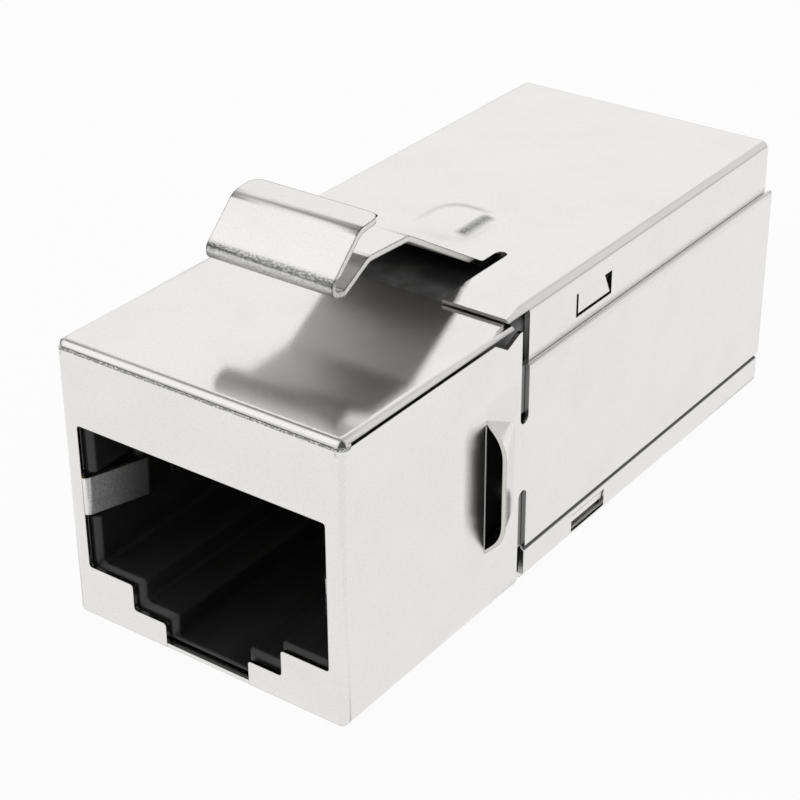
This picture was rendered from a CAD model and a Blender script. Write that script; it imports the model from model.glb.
import logging
import math
from collections.abc import Iterable
from dataclasses import dataclass
from enum import Enum
from functools import reduce

import bpy
from mathutils import Matrix, Vector


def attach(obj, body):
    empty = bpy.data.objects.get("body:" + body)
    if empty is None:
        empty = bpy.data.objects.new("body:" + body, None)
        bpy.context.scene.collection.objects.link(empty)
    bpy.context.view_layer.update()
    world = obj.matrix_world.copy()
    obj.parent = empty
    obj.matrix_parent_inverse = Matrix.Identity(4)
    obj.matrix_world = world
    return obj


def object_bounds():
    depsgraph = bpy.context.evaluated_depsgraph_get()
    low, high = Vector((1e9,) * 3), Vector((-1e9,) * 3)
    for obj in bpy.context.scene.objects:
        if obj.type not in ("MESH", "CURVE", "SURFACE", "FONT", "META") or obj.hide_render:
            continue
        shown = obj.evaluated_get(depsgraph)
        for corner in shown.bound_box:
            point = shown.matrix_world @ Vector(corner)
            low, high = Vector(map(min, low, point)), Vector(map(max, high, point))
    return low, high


# Finishes, floor, lamps and camera of the inline coupler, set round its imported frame.
# Lengths are metres unless a name ends in _mm. Finishes are laid out in millimetres in the coupler's frame.

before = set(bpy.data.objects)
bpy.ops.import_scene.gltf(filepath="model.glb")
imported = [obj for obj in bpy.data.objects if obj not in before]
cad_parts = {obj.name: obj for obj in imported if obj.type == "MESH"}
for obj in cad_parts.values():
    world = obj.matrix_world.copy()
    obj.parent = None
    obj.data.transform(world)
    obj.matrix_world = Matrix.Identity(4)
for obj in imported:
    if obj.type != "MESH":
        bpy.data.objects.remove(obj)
CAD_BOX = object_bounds()

log = logging.getLogger("coupler")
BODY = "root"
MM = 0.001
FRAME_WIDTH_PX = 800.0
SENSOR_MM = 36.0
# A warm grey loses blue, and this share of that loss in green.
GREEN_LOSS = 0.4
# Farther out than any side of the coupler, in the millimetres of its zones.
BEYOND = 30.0

Colour = tuple[float, float, float, float]
Point = tuple[float, float, float]
Named = dict[str | int, object]


def grey(level: float, warmth: float = 0.0) -> Colour:
    """A grey of that level, warmer where warmth is above zero."""
    return (level, level * (1 - GREEN_LOSS * warmth), level * (1 - warmth), 1.0)


class Side(Enum):
    """The two ends of the coupler."""

    FRONT = "front"
    REAR = "rear"


@dataclass(frozen=True)
class Ramp:
    """A value's smooth share: the least at the start, the most at the end, which may lie below the start."""

    start: float
    end: float
    least: float = 0.0
    most: float = 1.0


@dataclass(frozen=True)
class Wire:
    """A value that runs from one node of a finish to the next."""

    bench: "Bench"
    socket: bpy.types.NodeSocket

    def _math(self, operation: str, left: "Wire | float", right: "Wire | float" = 0.0) -> "Wire":
        """Adds one Math node.

        Args:
            operation: the Math node's operation.
            left: the first operand.
            right: the second operand, where the operation has one.

        Returns:
            The node's result.
        """
        return self.bench.wire("ShaderNodeMath", 0, {"operation": operation}, {0: left, 1: right})

    def __add__(self, other: "Wire | float") -> "Wire":
        """Sum of two values."""
        return self._math("ADD", self, other)

    __radd__ = __add__

    def __sub__(self, other: "Wire | float") -> "Wire":
        """This value less the other."""
        return self._math("SUBTRACT", self, other)

    def __rsub__(self, other: "Wire | float") -> "Wire":
        """The other value less this one."""
        return self._math("SUBTRACT", other, self)

    def __mul__(self, other: "Wire | float") -> "Wire":
        """Product of two values."""
        return self._math("MULTIPLY", self, other)

    __rmul__ = __mul__

    def __truediv__(self, other: "Wire | float") -> "Wire":
        """This value divided by the other."""
        return self._math("DIVIDE", self, other)

    def __abs__(self) -> "Wire":
        """The value without its sign."""
        return self._math("ABSOLUTE", self)

    def sine(self) -> "Wire":
        """The sine of an angle in radians."""
        return self._math("SINE", self)

    def larger(self, other: "Wire | float") -> "Wire":
        """The larger of two values."""
        return self._math("MAXIMUM", self, other)

    def over(self, *ramps: Ramp) -> "Wire":
        """Carries the value over ramps.

        Args:
            ramps: what turns the value into a share, each for itself.

        Returns:
            The product of their shares.
        """
        settings = {"interpolation_type": "SMOOTHSTEP"}
        shares = []
        for ramp in ramps:
            values = {0: self, 1: ramp.start, 2: ramp.end, 3: ramp.least, 4: ramp.most}
            shares.append(self.bench.wire("ShaderNodeMapRange", 0, settings, values))
        return reduce(Wire.__mul__, shares)


class Bench:
    """The node tree of one finish, with short ways to add to it."""

    MIX_LOW, MIX_HIGH, MIX_OUT = 6, 7, 2
    BEVEL_SAMPLES = 4

    def __init__(self, owner: bpy.types.Material | bpy.types.World) -> None:
        """Empties a node tree.

        Args:
            owner: the material or the world that it belongs to.
        """
        owner.use_nodes = True
        self.owner = owner
        self.tree = owner.node_tree
        self.tree.nodes.clear()

    @classmethod
    def named(cls, name: str) -> "Bench":
        """Starts a new material of that name."""
        return cls(bpy.data.materials.new(name))

    def node(self, kind: str, settings: Named | None = None, values: Named | None = None) -> bpy.types.Node:
        """Adds a node of any type.

        Args:
            kind: the node's type.
            settings: its properties, set before its sockets are filled.
            values: what goes to its sockets, numbers, colours or wires, by name or index.

        Returns:
            The node.
        """
        made = self.tree.nodes.new(kind)
        for name, value in (settings or {}).items():
            setattr(made, name, value)
        for name, value in (values or {}).items():
            if isinstance(value, Wire):
                self.tree.links.new(value.socket, made.inputs[name])
            else:
                made.inputs[name].default_value = value
        return made

    def wire(self, kind: str, output: int | str,
             settings: Named | None = None, values: Named | None = None) -> Wire:
        """Adds a node and gives one of its outputs.

        Args:
            kind: the node's type.
            output: the output's name or index.
            settings: the node's properties.
            values: what goes to its sockets.

        Returns:
            The output.
        """
        return Wire(self, self.node(kind, settings, values).outputs[output])

    def place(self) -> Wire:
        """The surface point in millimetres, in the coupler's own frame."""
        point = self.wire("ShaderNodeTexCoord", "Object")
        return self.wire("ShaderNodeVectorMath", 0, {"operation": "SCALE"}, {0: point, "Scale": 1 / MM})

    def stretch(self, point: Wire, by: Point) -> Wire:
        """Scales a point by axis, so that a pattern on it is drawn out."""
        return self.wire("ShaderNodeVectorMath", 0, {"operation": "MULTIPLY"}, {0: point, 1: by})

    def dot(self, left: Wire, right: Wire | Point) -> Wire:
        """The cosine of the angle between two directions."""
        return self.wire("ShaderNodeVectorMath", 1, {"operation": "DOT_PRODUCT"}, {0: left, 1: right})

    def axes(self, point: Wire) -> tuple[Wire, Wire, Wire]:
        """The three coordinates of a point or a direction."""
        split = self.node("ShaderNodeSeparateXYZ", None, {0: point})
        return tuple(Wire(self, output) for output in split.outputs)

    def facing(self) -> tuple[Wire, Wire, Wire]:
        """The three coordinates of the direction that the surface faces."""
        return self.axes(self.wire("ShaderNodeNewGeometry", "Normal"))

    def rounded(self, radius_mm: float) -> Wire:
        """The direction that the surface would face with its edges rounded to that radius."""
        return self.wire("ShaderNodeBevel", 0, {"samples": self.BEVEL_SAMPLES}, {"Radius": radius_mm * MM})

    def noise(self, point: Wire, scale: float, detail: float = 2.0) -> Wire:
        """A noise pattern, about 0 to 1, with that many features to a millimetre."""
        return self.wire("ShaderNodeTexNoise", 0, None, {"Vector": point, "Scale": scale, "Detail": detail})

    def mix(self, share: Wire | float, low: Wire | Colour, high: Wire | Colour) -> Wire:
        """Lays one colour on another.

        Args:
            share: how much of the second colour shows.
            low: the first colour.
            high: the second colour.

        Returns:
            The mixed colour.
        """
        values = {0: share, self.MIX_LOW: low, self.MIX_HIGH: high}
        return self.wire("ShaderNodeMix", self.MIX_OUT, {"data_type": "RGBA"}, values)

    def bump(self, height: Wire, depth_mm: float, under: Wire | None = None) -> Wire:
        """Turns a height pattern into a surface normal.

        Args:
            height: the pattern, about 0 to 1.
            depth_mm: how deep its full range is.
            under: the normal that it is laid on, where that isn't the surface's own.

        Returns:
            The bent normal.
        """
        values = {"Height": height, "Distance": depth_mm * MM}
        if under:
            values["Normal"] = under
        return self.wire("ShaderNodeBump", 0, None, values)

    def surface(self, **values: Wire | float | Colour) -> bpy.types.Material:
        """Closes the finish with one surface shader.

        Args:
            values: the shader's sockets, with _ for a space.

        Returns:
            The material.
        """
        sockets = {name.replace("_", " "): value for name, value in values.items()}
        return self.close(self.wire("ShaderNodeBsdfPrincipled", 0, None, sockets))

    def close(self, shader: Wire) -> bpy.types.Material | bpy.types.World:
        """Sends a shader to the output.

        Args:
            shader: the last shader.

        Returns:
            The material or the world.
        """
        owned_by = "World" if isinstance(self.owner, bpy.types.World) else "Material"
        self.node(f"ShaderNodeOutput{owned_by}", None, {"Surface": shader})
        return self.owner


@dataclass(frozen=True)
class Zone:
    """A box in the coupler's own frame, in millimetres, with soft sides, and as a rule on both flanks."""

    low: Point
    high: Point
    fade: float = 0.02
    mirrored: bool = True

    def share(self, bench: Bench, point: Wire) -> Wire:
        """How far a point lies in the box.

        Args:
            bench: the finish's nodes.
            point: the surface point in millimetres.

        Returns:
            1 inside, falling to 0 over the fade outside each side.
        """
        x, y, z = bench.axes(point)
        inside = []
        for axis, low, high in zip((abs(x) if self.mirrored else x, y, z), self.low, self.high):
            inside.append(axis.over(Ramp(low - self.fade, low), Ramp(high + self.fade, high)))
        return reduce(Wire.__mul__, inside)


class Place(Enum):
    """Where the folded sheets differ from plain nickel."""

    ROOF_BEND = Zone((0.0, -BEYOND, 12.4), (BEYOND, -16.7, 13.3), 0.05)
    UPRIGHT_BENDS = Zone((6.7, -BEYOND, 0.5), (BEYOND, -16.7, 12.5), 0.05)
    FACE_NOTCH = Zone((6.98, -17.3, 12.78), (7.2, -16.9, 13.2), 0.03)
    LATCH = Zone((0.0, -BEYOND, 13.7), (BEYOND, BEYOND, BEYOND), 0.1)
    BROW = Zone((0.0, -BEYOND, 17.3), (BEYOND, -9.0, BEYOND), 0.3)
    NOSE = Zone((0.0, -BEYOND, 15.0), (BEYOND, -11.6, 16.45), 0.2)
    NOSE_CORE = Zone((0.0, -BEYOND, 16.34), (BEYOND, -11.6, 16.44), 0.14)
    LEAF = Zone((0.0, -BEYOND, 4.9), (6.15, BEYOND, 6.9), 0.12)
    LEAF_DEEP = Zone((0.0, -14.4, 4.9), (6.3, 14.4, 6.9), 2.0)
    EARS = Zone((6.9, -5.2, 0.3), (7.2, -4.45, 10.75), 0.01)
    LAP_GROOVE = Zone((0.0, -4.4, 1.52), (7.22, BEYOND, 1.74), 0.03)
    BARB_LINE = Zone((7.0, -0.5, 1.175), (7.3, 2.32, 1.24), 0.01)
    WINDOW_SILL = Zone((6.0, -0.8, 0.2), (7.05, 2.6, 0.4), 0.05)
    LOUVER_FRONT = Zone((7.2, -8.9, 3.0), (7.3, -7.8, 9.7), 0.5)
    LOUVER_CAP = Zone((7.3, -7.5, 8.8), (BEYOND, -5.3, 10.2), 0.2)
    LANCED_EDGE = Zone((7.2, -7.72, 3.35), (7.3, -7.6, 9.3), 0.01)
    SEAM = Zone((6.9, -4.6, 10.5), (7.3, BEYOND, 10.9), 0.25)
    RIB = Zone((0.0, -1.8, 13.2), (2.0, 2.9, 13.6), 0.1)
    RIB_FLANK = Zone((1.02, -0.3, 13.3), (1.06, 1.6, 13.65), 0.42, mirrored=False)


Shares = dict[Place, Wire]


def any_of(at: Shares, *places: Place) -> Wire:
    """The largest share of several places."""
    return reduce(Wire.larger, (at[place] for place in places))


@dataclass(frozen=True)
class SatinNickel:
    """Bright nickel on rolled sheet: a fine pebble from plating, faint clouds from handling, worked bends."""

    name: str = "satin_nickel"
    bright: float = 0.83
    dull: float = 0.74
    warmth: float = 0.03
    crease_level: float = 0.24
    worked_level: float = 0.50
    leaf_level: float = 0.60
    leaf_worn_level: float = 0.45
    deep_level: float = 0.22
    deep_most: float = 0.8
    ear_level: float = 0.38
    ear_even: float = 0.7
    flank_level: float = 0.20
    rim_level: float = 0.05
    shade_level: float = 0.10
    pebble_scale: float = 13.0
    speck_scale: float = 10.4
    cloud_scale: float = 0.35
    score_scale: float = 7.5
    score_stretch: Point = (1.0, 2.0, 2.0)
    dull_pebble: Ramp = Ramp(0.30, 0.75, most=0.40)
    dull_speck: Ramp = Ramp(0.55, 0.78, most=0.30)
    dull_cloud: Ramp = Ramp(0.35, 0.75, most=0.25)
    hazy_cloud: Ramp = Ramp(0.45, 0.80)
    lower_line: tuple[Ramp, ...] = (Ramp(0.05, 0.13), Ramp(0.45, 0.28))
    upper_line: tuple[Ramp, ...] = (Ramp(0.90, 0.96), Ramp(0.997, 0.985, most=0.36))
    upright_line: tuple[Ramp, ...] = (Ramp(0.10, 0.60), Ramp(0.99, 0.75, most=0.10))
    upright_face: Ramp = Ramp(0.10, 0.02)
    line_score: Ramp = Ramp(0.25, 0.60)
    nose_score: Ramp = Ramp(0.35, 0.65, most=0.70)
    core_score: Ramp = Ramp(0.35, 0.60, least=0.35)
    worn_speck: Ramp = Ramp(0.35, 0.65)
    flank_speck: Ramp = Ramp(0.30, 0.65, least=0.65)
    rim_speck: Ramp = Ramp(0.22, 0.44)
    bold_rim: Ramp = Ramp(0.99, 0.94)
    plain_rim: Ramp = Ramp(0.985, 0.88, most=0.30)
    rim_radius_mm: float = 0.09
    pebble_depth_mm: float = 0.0017
    speck_relief: float = 0.4
    worked_depth_mm: float = 0.005
    roughness: float = 0.095
    haze: float = 0.03
    rougher_below: Ramp = Ramp(0.2, -0.2, most=0.42)
    rougher: tuple[tuple[Place, float], ...] = (
        (Place.NOSE, 0.16), (Place.BROW, 0.10), (Place.LEAF, 0.305),
        (Place.EARS, 0.20), (Place.SEAM, 0.22), (Place.WINDOW_SILL, 0.55),
        (Place.LOUVER_FRONT, 0.14), (Place.LOUVER_CAP, 0.22), (Place.LANCED_EDGE, 0.55))
    scuffed_share: float = 0.8

    def crease_share(self, bench: Bench, at: Shares) -> Wire:
        """Where the bends round the face are scored: two lines on the roof's, a faint band on the others.

        Args:
            bench: the finish's nodes.
            at: the share of each place.

        Returns:
            1 on the roof bend's lower line, less on its upper line and on the upright bends.
        """
        across, _, up = (abs(axis) for axis in bench.facing())
        scored = up.over(*self.lower_line) + up.over(*self.upper_line)
        banded = across.over(*self.upright_line) * up.over(self.upright_face)
        return at[Place.ROOF_BEND] * scored + at[Place.UPRIGHT_BENDS] * banded

    def rim_share(self, bench: Bench, at: Shares) -> Wire:
        """Where a cut or a fold ends: there a rounded normal turns away from the true one.

        Args:
            bench: the finish's nodes.
            at: the share of each place.

        Returns:
            0 on open sheet, up to 1 along the latch's edges and less along the others.
        """
        true = bench.wire("ShaderNodeNewGeometry", "True Normal")
        agree = bench.dot(bench.rounded(self.rim_radius_mm), true)
        latch = at[Place.LATCH]
        rimmed = latch * agree.over(self.bold_rim) + (1 - latch) * agree.over(self.plain_rim)
        return rimmed * (1 - any_of(at, Place.SEAM, Place.LOUVER_CAP, Place.RIB, Place.LANCED_EDGE))

    def material(self) -> bpy.types.Material:
        """Makes the finish.

        Returns:
            The material, its colour laid on in layers from the open sheet to the dark grooves.
        """
        bench = Bench.named(self.name)
        point = bench.place()
        at = {place: place.value.share(bench, point) for place in Place}
        pebble = bench.noise(point, self.pebble_scale)
        speck = bench.noise(point, self.speck_scale, detail=1.0)
        cloud = bench.noise(point, self.cloud_scale, detail=3.0)
        score = bench.noise(bench.stretch(point, self.score_stretch), self.score_scale, detail=3.0)
        handled = pebble.over(self.dull_pebble) + speck.over(self.dull_speck) + cloud.over(self.dull_cloud)
        worn = bench.mix(speck.over(self.worn_speck), grey(self.leaf_level), grey(self.leaf_worn_level))
        layers = (
            (handled, grey(self.dull, self.warmth)),
            (self.crease_share(bench, at) * score.over(self.line_score), grey(self.crease_level)),
            (at[Place.NOSE] * score.over(self.nose_score), grey(self.worked_level)),
            (at[Place.NOSE_CORE] * score.over(self.core_score), grey(self.crease_level)),
            (at[Place.LEAF], worn),
            (at[Place.LEAF] * at[Place.LEAF_DEEP] * self.deep_most, grey(self.deep_level)),
            (at[Place.EARS] * (self.ear_even + (1 - self.ear_even) * score), grey(self.ear_level)),
            (at[Place.RIB_FLANK] * speck.over(self.flank_speck), grey(self.flank_level)),
            (self.rim_share(bench, at) * speck.over(self.rim_speck), grey(self.rim_level)),
            (any_of(at, Place.LAP_GROOVE, Place.BARB_LINE, Place.FACE_NOTCH), grey(self.shade_level)),
        )
        colour = grey(self.bright, self.warmth)
        for share, level in layers:
            colour = bench.mix(share, colour, level)
        rough = self.roughness + self.haze * (pebble + cloud.over(self.hazy_cloud))
        rough = rough + at[Place.LATCH] * bench.facing()[2].over(self.rougher_below)
        for place, added in self.rougher:
            rough = rough + added * at[place]
        metal = 1 - self.scuffed_share * any_of(at, Place.LANCED_EDGE, Place.WINDOW_SILL)
        fine = bench.bump(pebble + self.speck_relief * speck, self.pebble_depth_mm)
        normal = bench.bump(score * at[Place.NOSE], self.worked_depth_mm, fine)
        return bench.surface(Base_Color=colour, Metallic=metal, Roughness=rough, Normal=normal)


@dataclass(frozen=True)
class BlackMoulding:
    """Black glass-filled plastic from an eroded mould: a fine matt grain, paler under the roof's opening."""

    name: str = "black_moulding"
    level: float = 0.016
    flow_level: float = 0.0272
    top_level: float = 0.24
    top: Zone = Zone((0.0, -BEYOND, 12.65), (BEYOND, -5.0, 13.0), 3.0)
    roughness: float = 0.24
    grain_roughness: float = 0.14
    blotch_roughness: float = 0.12
    grain_scale: float = 9.0
    grain_depth_mm: float = 0.003
    flow_scale: float = 0.8
    flow_stretch: Point = (1.0, 0.25, 1.0)
    flow_paler: Ramp = Ramp(0.3, 0.8)
    blotch_scale: float = 0.8
    top_blotch: Ramp = Ramp(0.3, 0.75, least=0.3)
    softened_mm: float = 0.18

    def material(self) -> bpy.types.Material:
        """Makes the finish.

        Returns:
            The material.
        """
        bench = Bench.named(self.name)
        point = bench.place()
        grain = bench.noise(point, self.grain_scale)
        flow = bench.noise(bench.stretch(point, self.flow_stretch), self.flow_scale)
        blotch = bench.noise(point, self.blotch_scale, detail=4.0)
        body = bench.mix(flow.over(self.flow_paler), grey(self.level), grey(self.flow_level))
        top = self.top.share(bench, point) * blotch.over(self.top_blotch)
        colour = bench.mix(top, body, grey(self.top_level))
        rough = self.roughness + self.grain_roughness * grain + self.blotch_roughness * blotch
        normal = bench.bump(grain, self.grain_depth_mm, bench.rounded(self.softened_mm))
        return bench.surface(Base_Color=colour, Roughness=rough, Normal=normal)


@dataclass(frozen=True)
class GildedSpring:
    """Spring bronze with a gold face: rolling lines along the wire and a slightly dulled tip."""

    name: str = "gilded_spring"
    gold: Colour = (0.90, 0.62, 0.22, 1.0)
    bronze: Colour = (0.72, 0.47, 0.22, 1.0)
    cloud_scale: float = 0.9
    bronze_cloud: Ramp = Ramp(0.35, 0.75)
    roughness: float = 0.22
    line_roughness: float = 0.16
    line_scale: float = 2.0
    line_stretch: Point = (9.0, 0.6, 0.6)
    line_depth_mm: float = 0.003

    def material(self) -> bpy.types.Material:
        """Makes the finish.

        Returns:
            The material.
        """
        bench = Bench.named(self.name)
        point = bench.place()
        lines = bench.noise(bench.stretch(point, self.line_stretch), self.line_scale)
        cloud = bench.noise(point, self.cloud_scale)
        colour = bench.mix(cloud.over(self.bronze_cloud), self.gold, self.bronze)
        rough = self.roughness + self.line_roughness * lines
        normal = bench.bump(lines, self.line_depth_mm)
        return bench.surface(Base_Color=colour, Metallic=1.0, Roughness=rough, Normal=normal)


@dataclass(frozen=True)
class BoardLaminate:
    """Glass cloth board under a green lacquer, with the weave showing faintly."""

    name: str = "board_lacquer"
    lacquer: Colour = (0.02, 0.14, 0.06, 1.0)
    bare: Colour = (0.05, 0.24, 0.10, 1.0)
    weave_scale: float = 2.4
    weave_share: float = 0.5
    weave_depth_mm: float = 0.01
    cloud_scale: float = 0.8
    cloud_share: float = 0.3
    roughness: float = 0.3
    cloud_roughness: float = 0.15

    def material(self) -> bpy.types.Material:
        """Makes the finish.

        Returns:
            The material.
        """
        bench = Bench.named(self.name)
        point = bench.place()
        x, _, z = bench.axes(point)
        turns = self.weave_scale * math.tau
        weave = (x * turns).sine() * (z * turns).sine() * 0.5 + 0.5
        cloud = bench.noise(point, self.cloud_scale)
        thin = weave * self.weave_share + cloud * self.cloud_share
        colour = bench.mix(thin, self.lacquer, self.bare)
        rough = self.roughness + self.cloud_roughness * cloud
        normal = bench.bump(weave, self.weave_depth_mm)
        return bench.surface(Base_Color=colour, Roughness=rough, Normal=normal)


@dataclass(frozen=True)
class StudioPaper:
    """White paper of the floor: it takes the coupler's shadow and stays white where it is seen."""

    name: str = "studio_paper"
    level: float = 0.95
    fibre_level: float = 0.93575
    roughness: float = 0.9
    fibre_scale: float = 0.6
    fibre_depth_mm: float = 0.01
    seen_glow: float = 0.93
    mirrored_glow: float = 0.89

    def material(self) -> bpy.types.Material:
        """Makes the finish.

        Returns:
            The material.
        """
        bench = Bench.named(self.name)
        fibre = bench.noise(bench.place(), self.fibre_scale, detail=3.0)
        colour = bench.mix(fibre, grey(self.level), grey(self.fibre_level))
        normal = bench.bump(fibre, self.fibre_depth_mm)
        paper = bench.wire("ShaderNodeBsdfPrincipled", 0, None, {
            "Base Color": colour, "Roughness": self.roughness, "Specular IOR Level": 0.0, "Normal": normal})
        lit = bench.wire("ShaderNodeEmission", 0, None, {"Color": grey(1.0), "Strength": 1.0})
        path = bench.node("ShaderNodeLightPath")
        seen = Wire(bench, path.outputs["Is Camera Ray"]) * self.seen_glow
        share = seen + Wire(bench, path.outputs["Is Glossy Ray"]) * self.mirrored_glow
        return bench.close(bench.wire("ShaderNodeMixShader", 0, None, {0: share, 1: paper, 2: lit}))


@dataclass(frozen=True)
class EdgeBreak:
    """The small round that stamping and plating leave on a sheet's edges."""

    width_mm: float = 0.03
    segments: int = 2
    sharper_than_deg: float = 50.0
    joined_within: float = 1e-7

    def apply_to(self, piece: bpy.types.Object) -> None:
        """Adds the rounding to a piece as modifiers.

        Args:
            piece: the piece.
        """
        weld = piece.modifiers.new("joined_corners", "WELD")
        weld.merge_threshold = self.joined_within
        bevel = piece.modifiers.new("broken_edges", "BEVEL")
        bevel.width = self.width_mm * MM
        bevel.segments = self.segments
        bevel.limit_method = "ANGLE"
        bevel.angle_limit = math.radians(self.sharper_than_deg)
        bevel.harden_normals = True
        bevel.use_clamp_overlap = True


def dress(names: Iterable[str], material: bpy.types.Material, edge: EdgeBreak) -> None:
    """Gives frame nodes their finish and broken edges.

    Args:
        names: the nodes.
        material: their finish.
        edge: how their edges are rounded.
    """
    for name in names:
        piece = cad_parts[name]
        piece.material_slots[0].material = material
        edge.apply_to(piece)
        log.info("dressed %s", name)


@dataclass
class SheetShells:
    """The three folded sheets of the case."""

    nodes: tuple[str, ...] = ("front_shell", "rear_top_cover", "bottom_cover")
    edge: EdgeBreak = EdgeBreak()
    finish: SatinNickel = SatinNickel()

    def build(self) -> None:
        """Dresses the sheets."""
        dress(self.nodes, self.finish.material(), self.edge)


@dataclass
class Sockets:
    """The moulded housings, their combs and spring contacts, and the board between them."""

    contacts: int = 8
    moulded_edge: EdgeBreak = EdgeBreak(width_mm=0.08, segments=3, sharper_than_deg=40.0)
    wire_edge: EdgeBreak = EdgeBreak(width_mm=0.015, segments=1)

    def build(self) -> None:
        """Dresses both sockets and the board."""
        moulding = BlackMoulding().material()
        gilded = GildedSpring().material()
        for side in Side:
            end = side.value
            dress([f"{end}_jack_housing", f"{end}_contact_carrier"], moulding, self.moulded_edge)
            springs = [f"contact_{end}_{number + 1}" for number in range(self.contacts)]
            dress(springs, gilded, self.wire_edge)
        dress(["circuit_board"], BoardLaminate().material(), self.wire_edge)


@dataclass
class PressedRib:
    """The soft rib pressed up behind the latch's root, over the frame's plain one."""

    name: str = "latch_rib"
    centre_y: float = 0.0005
    plate_z: float = 0.01333
    width: float = 0.0039
    length: float = 0.0046
    height: float = 0.00019
    corner_share: float = 0.72
    ramp_share: float = 0.52
    outline_points: int = 72
    rings: int = 16
    sunk: float = 0.00008
    proud: float = 0.000001

    def ring(self, share: float, height: float) -> list[Point]:
        """Points round the rib, an oval drawn out towards a rectangle.

        Args:
            share: the ring's size as a share of the foot's.
            height: how far it lies over the plate.

        Returns:
            The points, anticlockwise from above.
        """
        points = []
        for index in range(self.outline_points):
            turn = math.tau * index / self.outline_points
            x, y = (
                math.copysign(abs(part) ** self.corner_share, part) * size / 2 * share
                for part, size in ((math.cos(turn), self.width), (math.sin(turn), self.length)))
            points.append((x, self.centre_y + y, self.plate_z + height))
        return points

    def mesh(self) -> bpy.types.Mesh:
        """Makes the closed mesh: a flat foot, rings that climb to the crown, and the crown's point.

        Returns:
            The mesh, smooth but for the edge round its foot.
        """
        count = self.outline_points
        points = self.ring(1.0, -self.sunk)
        for step in range(self.rings):
            inward = step / self.rings
            rise = min(inward / self.ramp_share, 1.0)
            points += self.ring(1 - inward, self.proud + self.height * rise * rise * (3 - 2 * rise))
        points.append((0.0, self.centre_y, self.plate_z + self.proud + self.height))
        faces = [tuple(reversed(range(count)))]
        for step in range(self.rings):
            low, high = step * count, (step + 1) * count
            for index in range(count):
                after = (index + 1) % count
                faces.append((low + index, low + after, high + after, high + index))
        last = self.rings * count
        faces += [(last + index, last + (index + 1) % count, len(points) - 1) for index in range(count)]
        mesh = bpy.data.meshes.new(self.name)
        mesh.from_pydata(points, [], faces)
        for face in mesh.polygons:
            face.use_smooth = True
        for edge in mesh.edges:
            edge.use_edge_sharp = all(index < 2 * count for index in edge.vertices)
        return mesh

    def build(self) -> None:
        """Seats the rib in the plate, in the plate's finish."""
        mesh = self.mesh()
        mesh.materials.append(bpy.data.materials[SatinNickel.name])
        piece = bpy.data.objects.new(self.name, mesh)
        bpy.context.scene.collection.objects.link(piece)
        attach(piece, BODY)
        log.info("pressed %s", piece.name)


@dataclass(frozen=True)
class SoftBox:
    """A square lamp that faces the coupler; its brightness is that of its face, where 1 is white."""

    name: str
    towards: Point
    brightness: float
    size: float = 0.58
    reach: float = 0.6

    def build(self) -> None:
        """Hangs the lamp with its edges level, so that the bends mirror them straight."""
        lamp = bpy.data.lights.new(self.name, "AREA")
        lamp.shape = "SQUARE"
        lamp.size = self.size
        lamp.energy = self.brightness * math.pi * self.size * self.size
        piece = bpy.data.objects.new(self.name, lamp)
        back = Vector(self.towards).normalized()
        level = (Vector((1.0, 0.0, 0.0)) - back * back.x).normalized()
        piece.matrix_world = Matrix((level, back.cross(level), back)).transposed().to_4x4()
        piece.location = Vector(self.towards) * self.reach
        piece.visible_camera = False
        bpy.context.scene.collection.objects.link(piece)
        log.info("hung %s", self.name)


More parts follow.
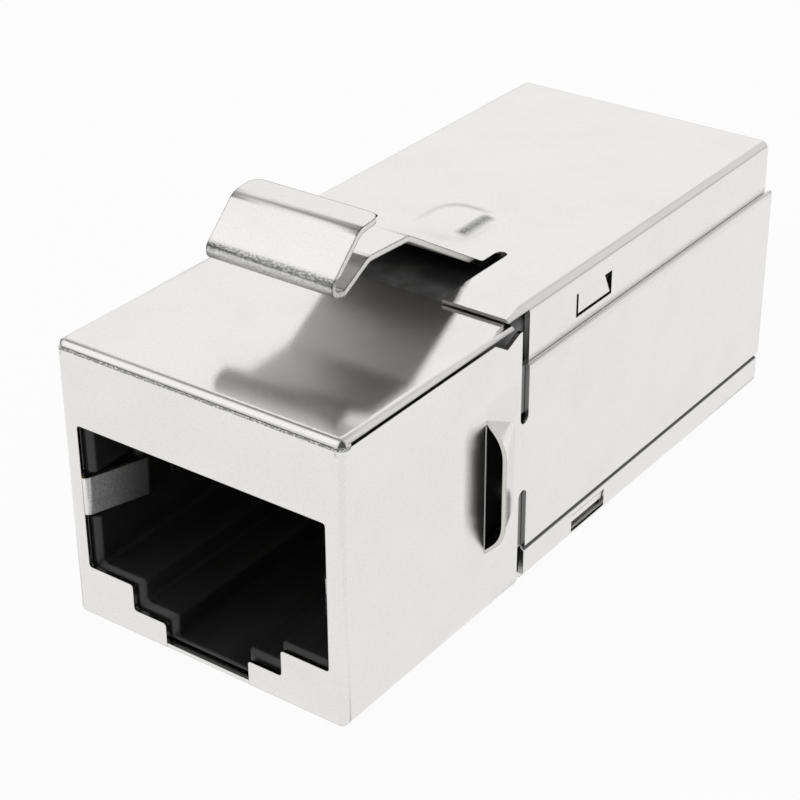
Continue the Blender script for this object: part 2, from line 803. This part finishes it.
@dataclass
class Studio:
    """The paper floor, the sky and the soft boxes."""

    floor_half: float = 4.0
    floor_drop: float = 0.00002
    sky: float = 0.80
    horizon_ahead: float = 0.10
    horizon_behind: float = 0.60
    to_behind: Ramp = Ramp(-0.4, 0.6)
    over_horizon: Ramp = Ramp(0.03, 0.28)
    gap_level: float = 0.34
    crown_slope: float = 0.25
    crown_gap: Ramp = Ramp(0.50, 0.10)
    lowest_height: float = 0.05
    rear_towards: Point = (-0.05, 0.68, 0.73)
    rear_gap: Ramp = Ramp(0.93, 0.985, most=0.2)
    lamps: tuple[SoftBox, ...] = (
        SoftBox("front_box", (-0.51, -0.38, 0.77), 0.29),
        SoftBox("back_box", (-0.511, 0.705, 0.492), 0.21))

    def build(self) -> None:
        """Makes the floor, the world and the lamps."""
        self.make_floor()
        self.make_sky()
        for lamp in self.lamps:
            lamp.build()

    def make_floor(self) -> None:
        """Lays the paper under the coupler."""
        half = self.floor_half
        mesh = bpy.data.meshes.new("studio_floor")
        square = ((-half, -half), (half, -half), (half, half), (-half, half))
        corners = [(x, y, -self.floor_drop) for x, y in square]
        mesh.from_pydata(corners, [], [(0, 1, 2, 3)])
        mesh.materials.append(StudioPaper().material())
        floor = bpy.data.objects.new("studio_floor", mesh)
        bpy.context.scene.collection.objects.link(floor)
        log.info("laid the floor")

    def make_sky(self) -> None:
        """Lights the room from all round, greyer at the horizon and in the gaps between the soft boxes."""
        world = bpy.data.worlds.new("studio_sky")
        bpy.context.scene.world = world
        bench = Bench(world)
        towards = bench.wire("ShaderNodeTexCoord", "Generated")
        _, along, height = bench.axes(towards)
        low_sky = bench.mix(along.over(self.to_behind), grey(self.horizon_ahead), grey(self.horizon_behind))
        open_sky = bench.mix(height.over(self.over_horizon), low_sky, grey(self.sky))
        slope = along / height.larger(self.lowest_height)
        crown = abs(slope - self.crown_slope).over(self.crown_gap)
        rear = bench.dot(towards, self.rear_towards).over(self.rear_gap)
        colour = bench.mix(crown.larger(rear), open_sky, grey(self.gap_level))
        room = bench.wire("ShaderNodeBackground", 0, None, {"Color": colour})
        seen = bench.wire("ShaderNodeBackground", 0, None, {"Color": grey(1.0)})
        looked_at = bench.wire("ShaderNodeLightPath", "Is Camera Ray")
        bench.close(bench.wire("ShaderNodeMixShader", 0, None, {0: looked_at, 1: room, 2: seen}))
        log.info("lit the sky")


@dataclass
class Viewpoint:
    """The camera's place, measured from the port face at floor level."""

    azimuth_deg: float = 35.940
    elevation_deg: float = 29.490
    roll_deg: float = -0.309
    focal_px: float = 2096.3
    across_mm: float = 7.918
    up_mm: float = 10.934
    distance_mm: float = 86.314
    nearest_share: float = 0.05
    farthest: float = 20.0

    def build(self) -> None:
        """Sets up the camera."""
        turn = math.radians(self.azimuth_deg)
        rise = math.radians(self.elevation_deg)
        roll = math.radians(self.roll_deg)
        back = Vector((math.sin(turn) * math.cos(rise), -math.cos(turn) * math.cos(rise), math.sin(rise)))
        level = Vector((math.cos(turn), math.sin(turn), 0.0))
        over = back.cross(level)
        right = level * math.cos(roll) + over * math.sin(roll)
        up = over * math.cos(roll) - level * math.sin(roll)
        place = (right * self.across_mm + up * self.up_mm + back * self.distance_mm) * MM
        place.y += CAD_BOX[0].y
        lens = bpy.data.cameras.new("viewpoint")
        lens.sensor_width = SENSOR_MM
        lens.lens = self.focal_px * SENSOR_MM / FRAME_WIDTH_PX
        lens.clip_start = self.distance_mm * MM * self.nearest_share
        lens.clip_end = self.farthest
        camera = bpy.data.objects.new("viewpoint", lens)
        camera.matrix_world = Matrix((right, up, back)).transposed().to_4x4()
        camera.location = place
        bpy.context.scene.collection.objects.link(camera)
        bpy.context.scene.camera = camera
        log.info("set the camera")


def main() -> None:
    """Builds the coupler's looks and the studio round it."""
    logging.basicConfig(level=logging.INFO)
    bpy.context.scene.view_settings.view_transform = "Standard"
    Viewpoint().build()
    SheetShells().build()
    PressedRib().build()
    Sockets().build()
    Studio().build()


if __name__ == "__main__":
    main()
